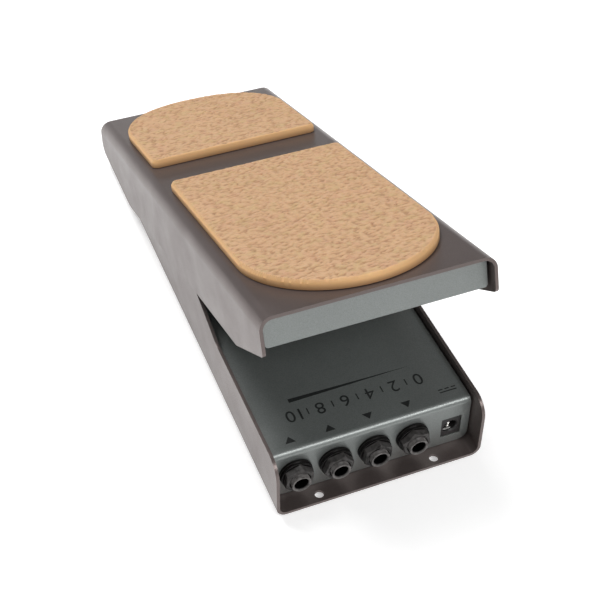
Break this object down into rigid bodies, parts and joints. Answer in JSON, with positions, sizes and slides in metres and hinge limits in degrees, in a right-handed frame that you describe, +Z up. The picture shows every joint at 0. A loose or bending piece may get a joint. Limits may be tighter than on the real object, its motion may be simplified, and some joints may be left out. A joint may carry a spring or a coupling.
{
  "type": "volume pedal",
  "caption": "Foot-operated volume pedal: a rocking treadle with crepe rubber pads on a friction hinge over a folded sheet base that holds a socket box.",
  "frame": {"origin": "middle of the pedal's outline on the surface it stands on", "axes": "+Z up, -Y towards the sockets and the toe end, +Y towards the heel, +X to the right seen from the socket end"},
  "size_m": [0.1044, 0.278, 0.1171],
  "materials": {
    "bronze_coat": "fine textured satin powder coat",
    "grey_green_coat": "fine textured matt paint",
    "crepe_rubber": "wrinkled crepe",
    "black_plastic": "moulded satin",
    "black_rubber": "matt",
    "plated_steel": "zinc plated",
    "aluminium": "machined",
    "acetal": "moulded",
    "bronze_disc": "machined",
    "circuit_board": "solder mask",
    "magnet_nickel": "nickel plated"
  },
  "bodies": {
    "base": {"base_channel": "bronze_coat", "electronics_box": "grey_green_coat", "box_screw_left_front": "plated_steel", "box_screw_left_rear": "plated_steel", "box_screw_right_front": "plated_steel", "box_screw_right_rear": "plated_steel", "foot_left_front": "black_rubber", "foot_left_rear": "black_rubber", "foot_right_front": "black_rubber", "foot_right_rear": "black_rubber", "heel_stop_strip": "black_rubber", "circuit_board": "circuit_board", "hall_sensor": "black_plastic", "dc_socket": "black_plastic", "dc_pin": "plated_steel", "shaft_bush_left": "acetal", "shaft_bush_right": "acetal", "friction_washer_left": "bronze_disc", "friction_washer_right": "bronze_disc", "jack_body_1": "black_plastic", "jack_washer_1": "black_plastic", "jack_nut_1": "black_plastic", "jack_body_2": "black_plastic", "jack_washer_2": "black_plastic", "jack_nut_2": "black_plastic", "jack_body_3": "black_plastic", "jack_washer_3": "black_plastic", "jack_nut_3": "black_plastic", "jack_body_4": "black_plastic", "jack_washer_4": "black_plastic", "jack_nut_4": "black_plastic"},
    "treadle": {"treadle_channel": "bronze_coat", "treadle_pan": "grey_green_coat", "pan_standoff_left_front": "aluminium", "pan_standoff_left_rear": "aluminium", "pan_standoff_right_front": "aluminium", "pan_standoff_right_rear": "aluminium", "pan_screw_left": "plated_steel", "pan_screw_right": "plated_steel", "toe_stop_post_left": "aluminium", "toe_stop_post_right": "aluminium", "toe_stop_bumper_left": "black_rubber", "toe_stop_bumper_right": "black_rubber", "hinge_bracket": "plated_steel", "bracket_screw_left_front": "plated_steel", "bracket_screw_left_rear": "plated_steel", "bracket_screw_right_front": "plated_steel", "bracket_screw_right_rear": "plated_steel", "pivot_shaft": "plated_steel", "shaft_collar_left": "plated_steel", "shaft_collar_right": "plated_steel", "magnet_arm": "aluminium", "magnet": "magnet_nickel", "toe_pad": "crepe_rubber", "heel_pad": "crepe_rubber"}
  },
  "joints": [
    {"name": "treadle_hinge", "type": "hinge", "parent": "base", "child": "treadle", "pos_m": [0, 0.001, 0.0475], "axis": [1, 0, 0], "range_deg": [0, 18.2]}
  ]
}
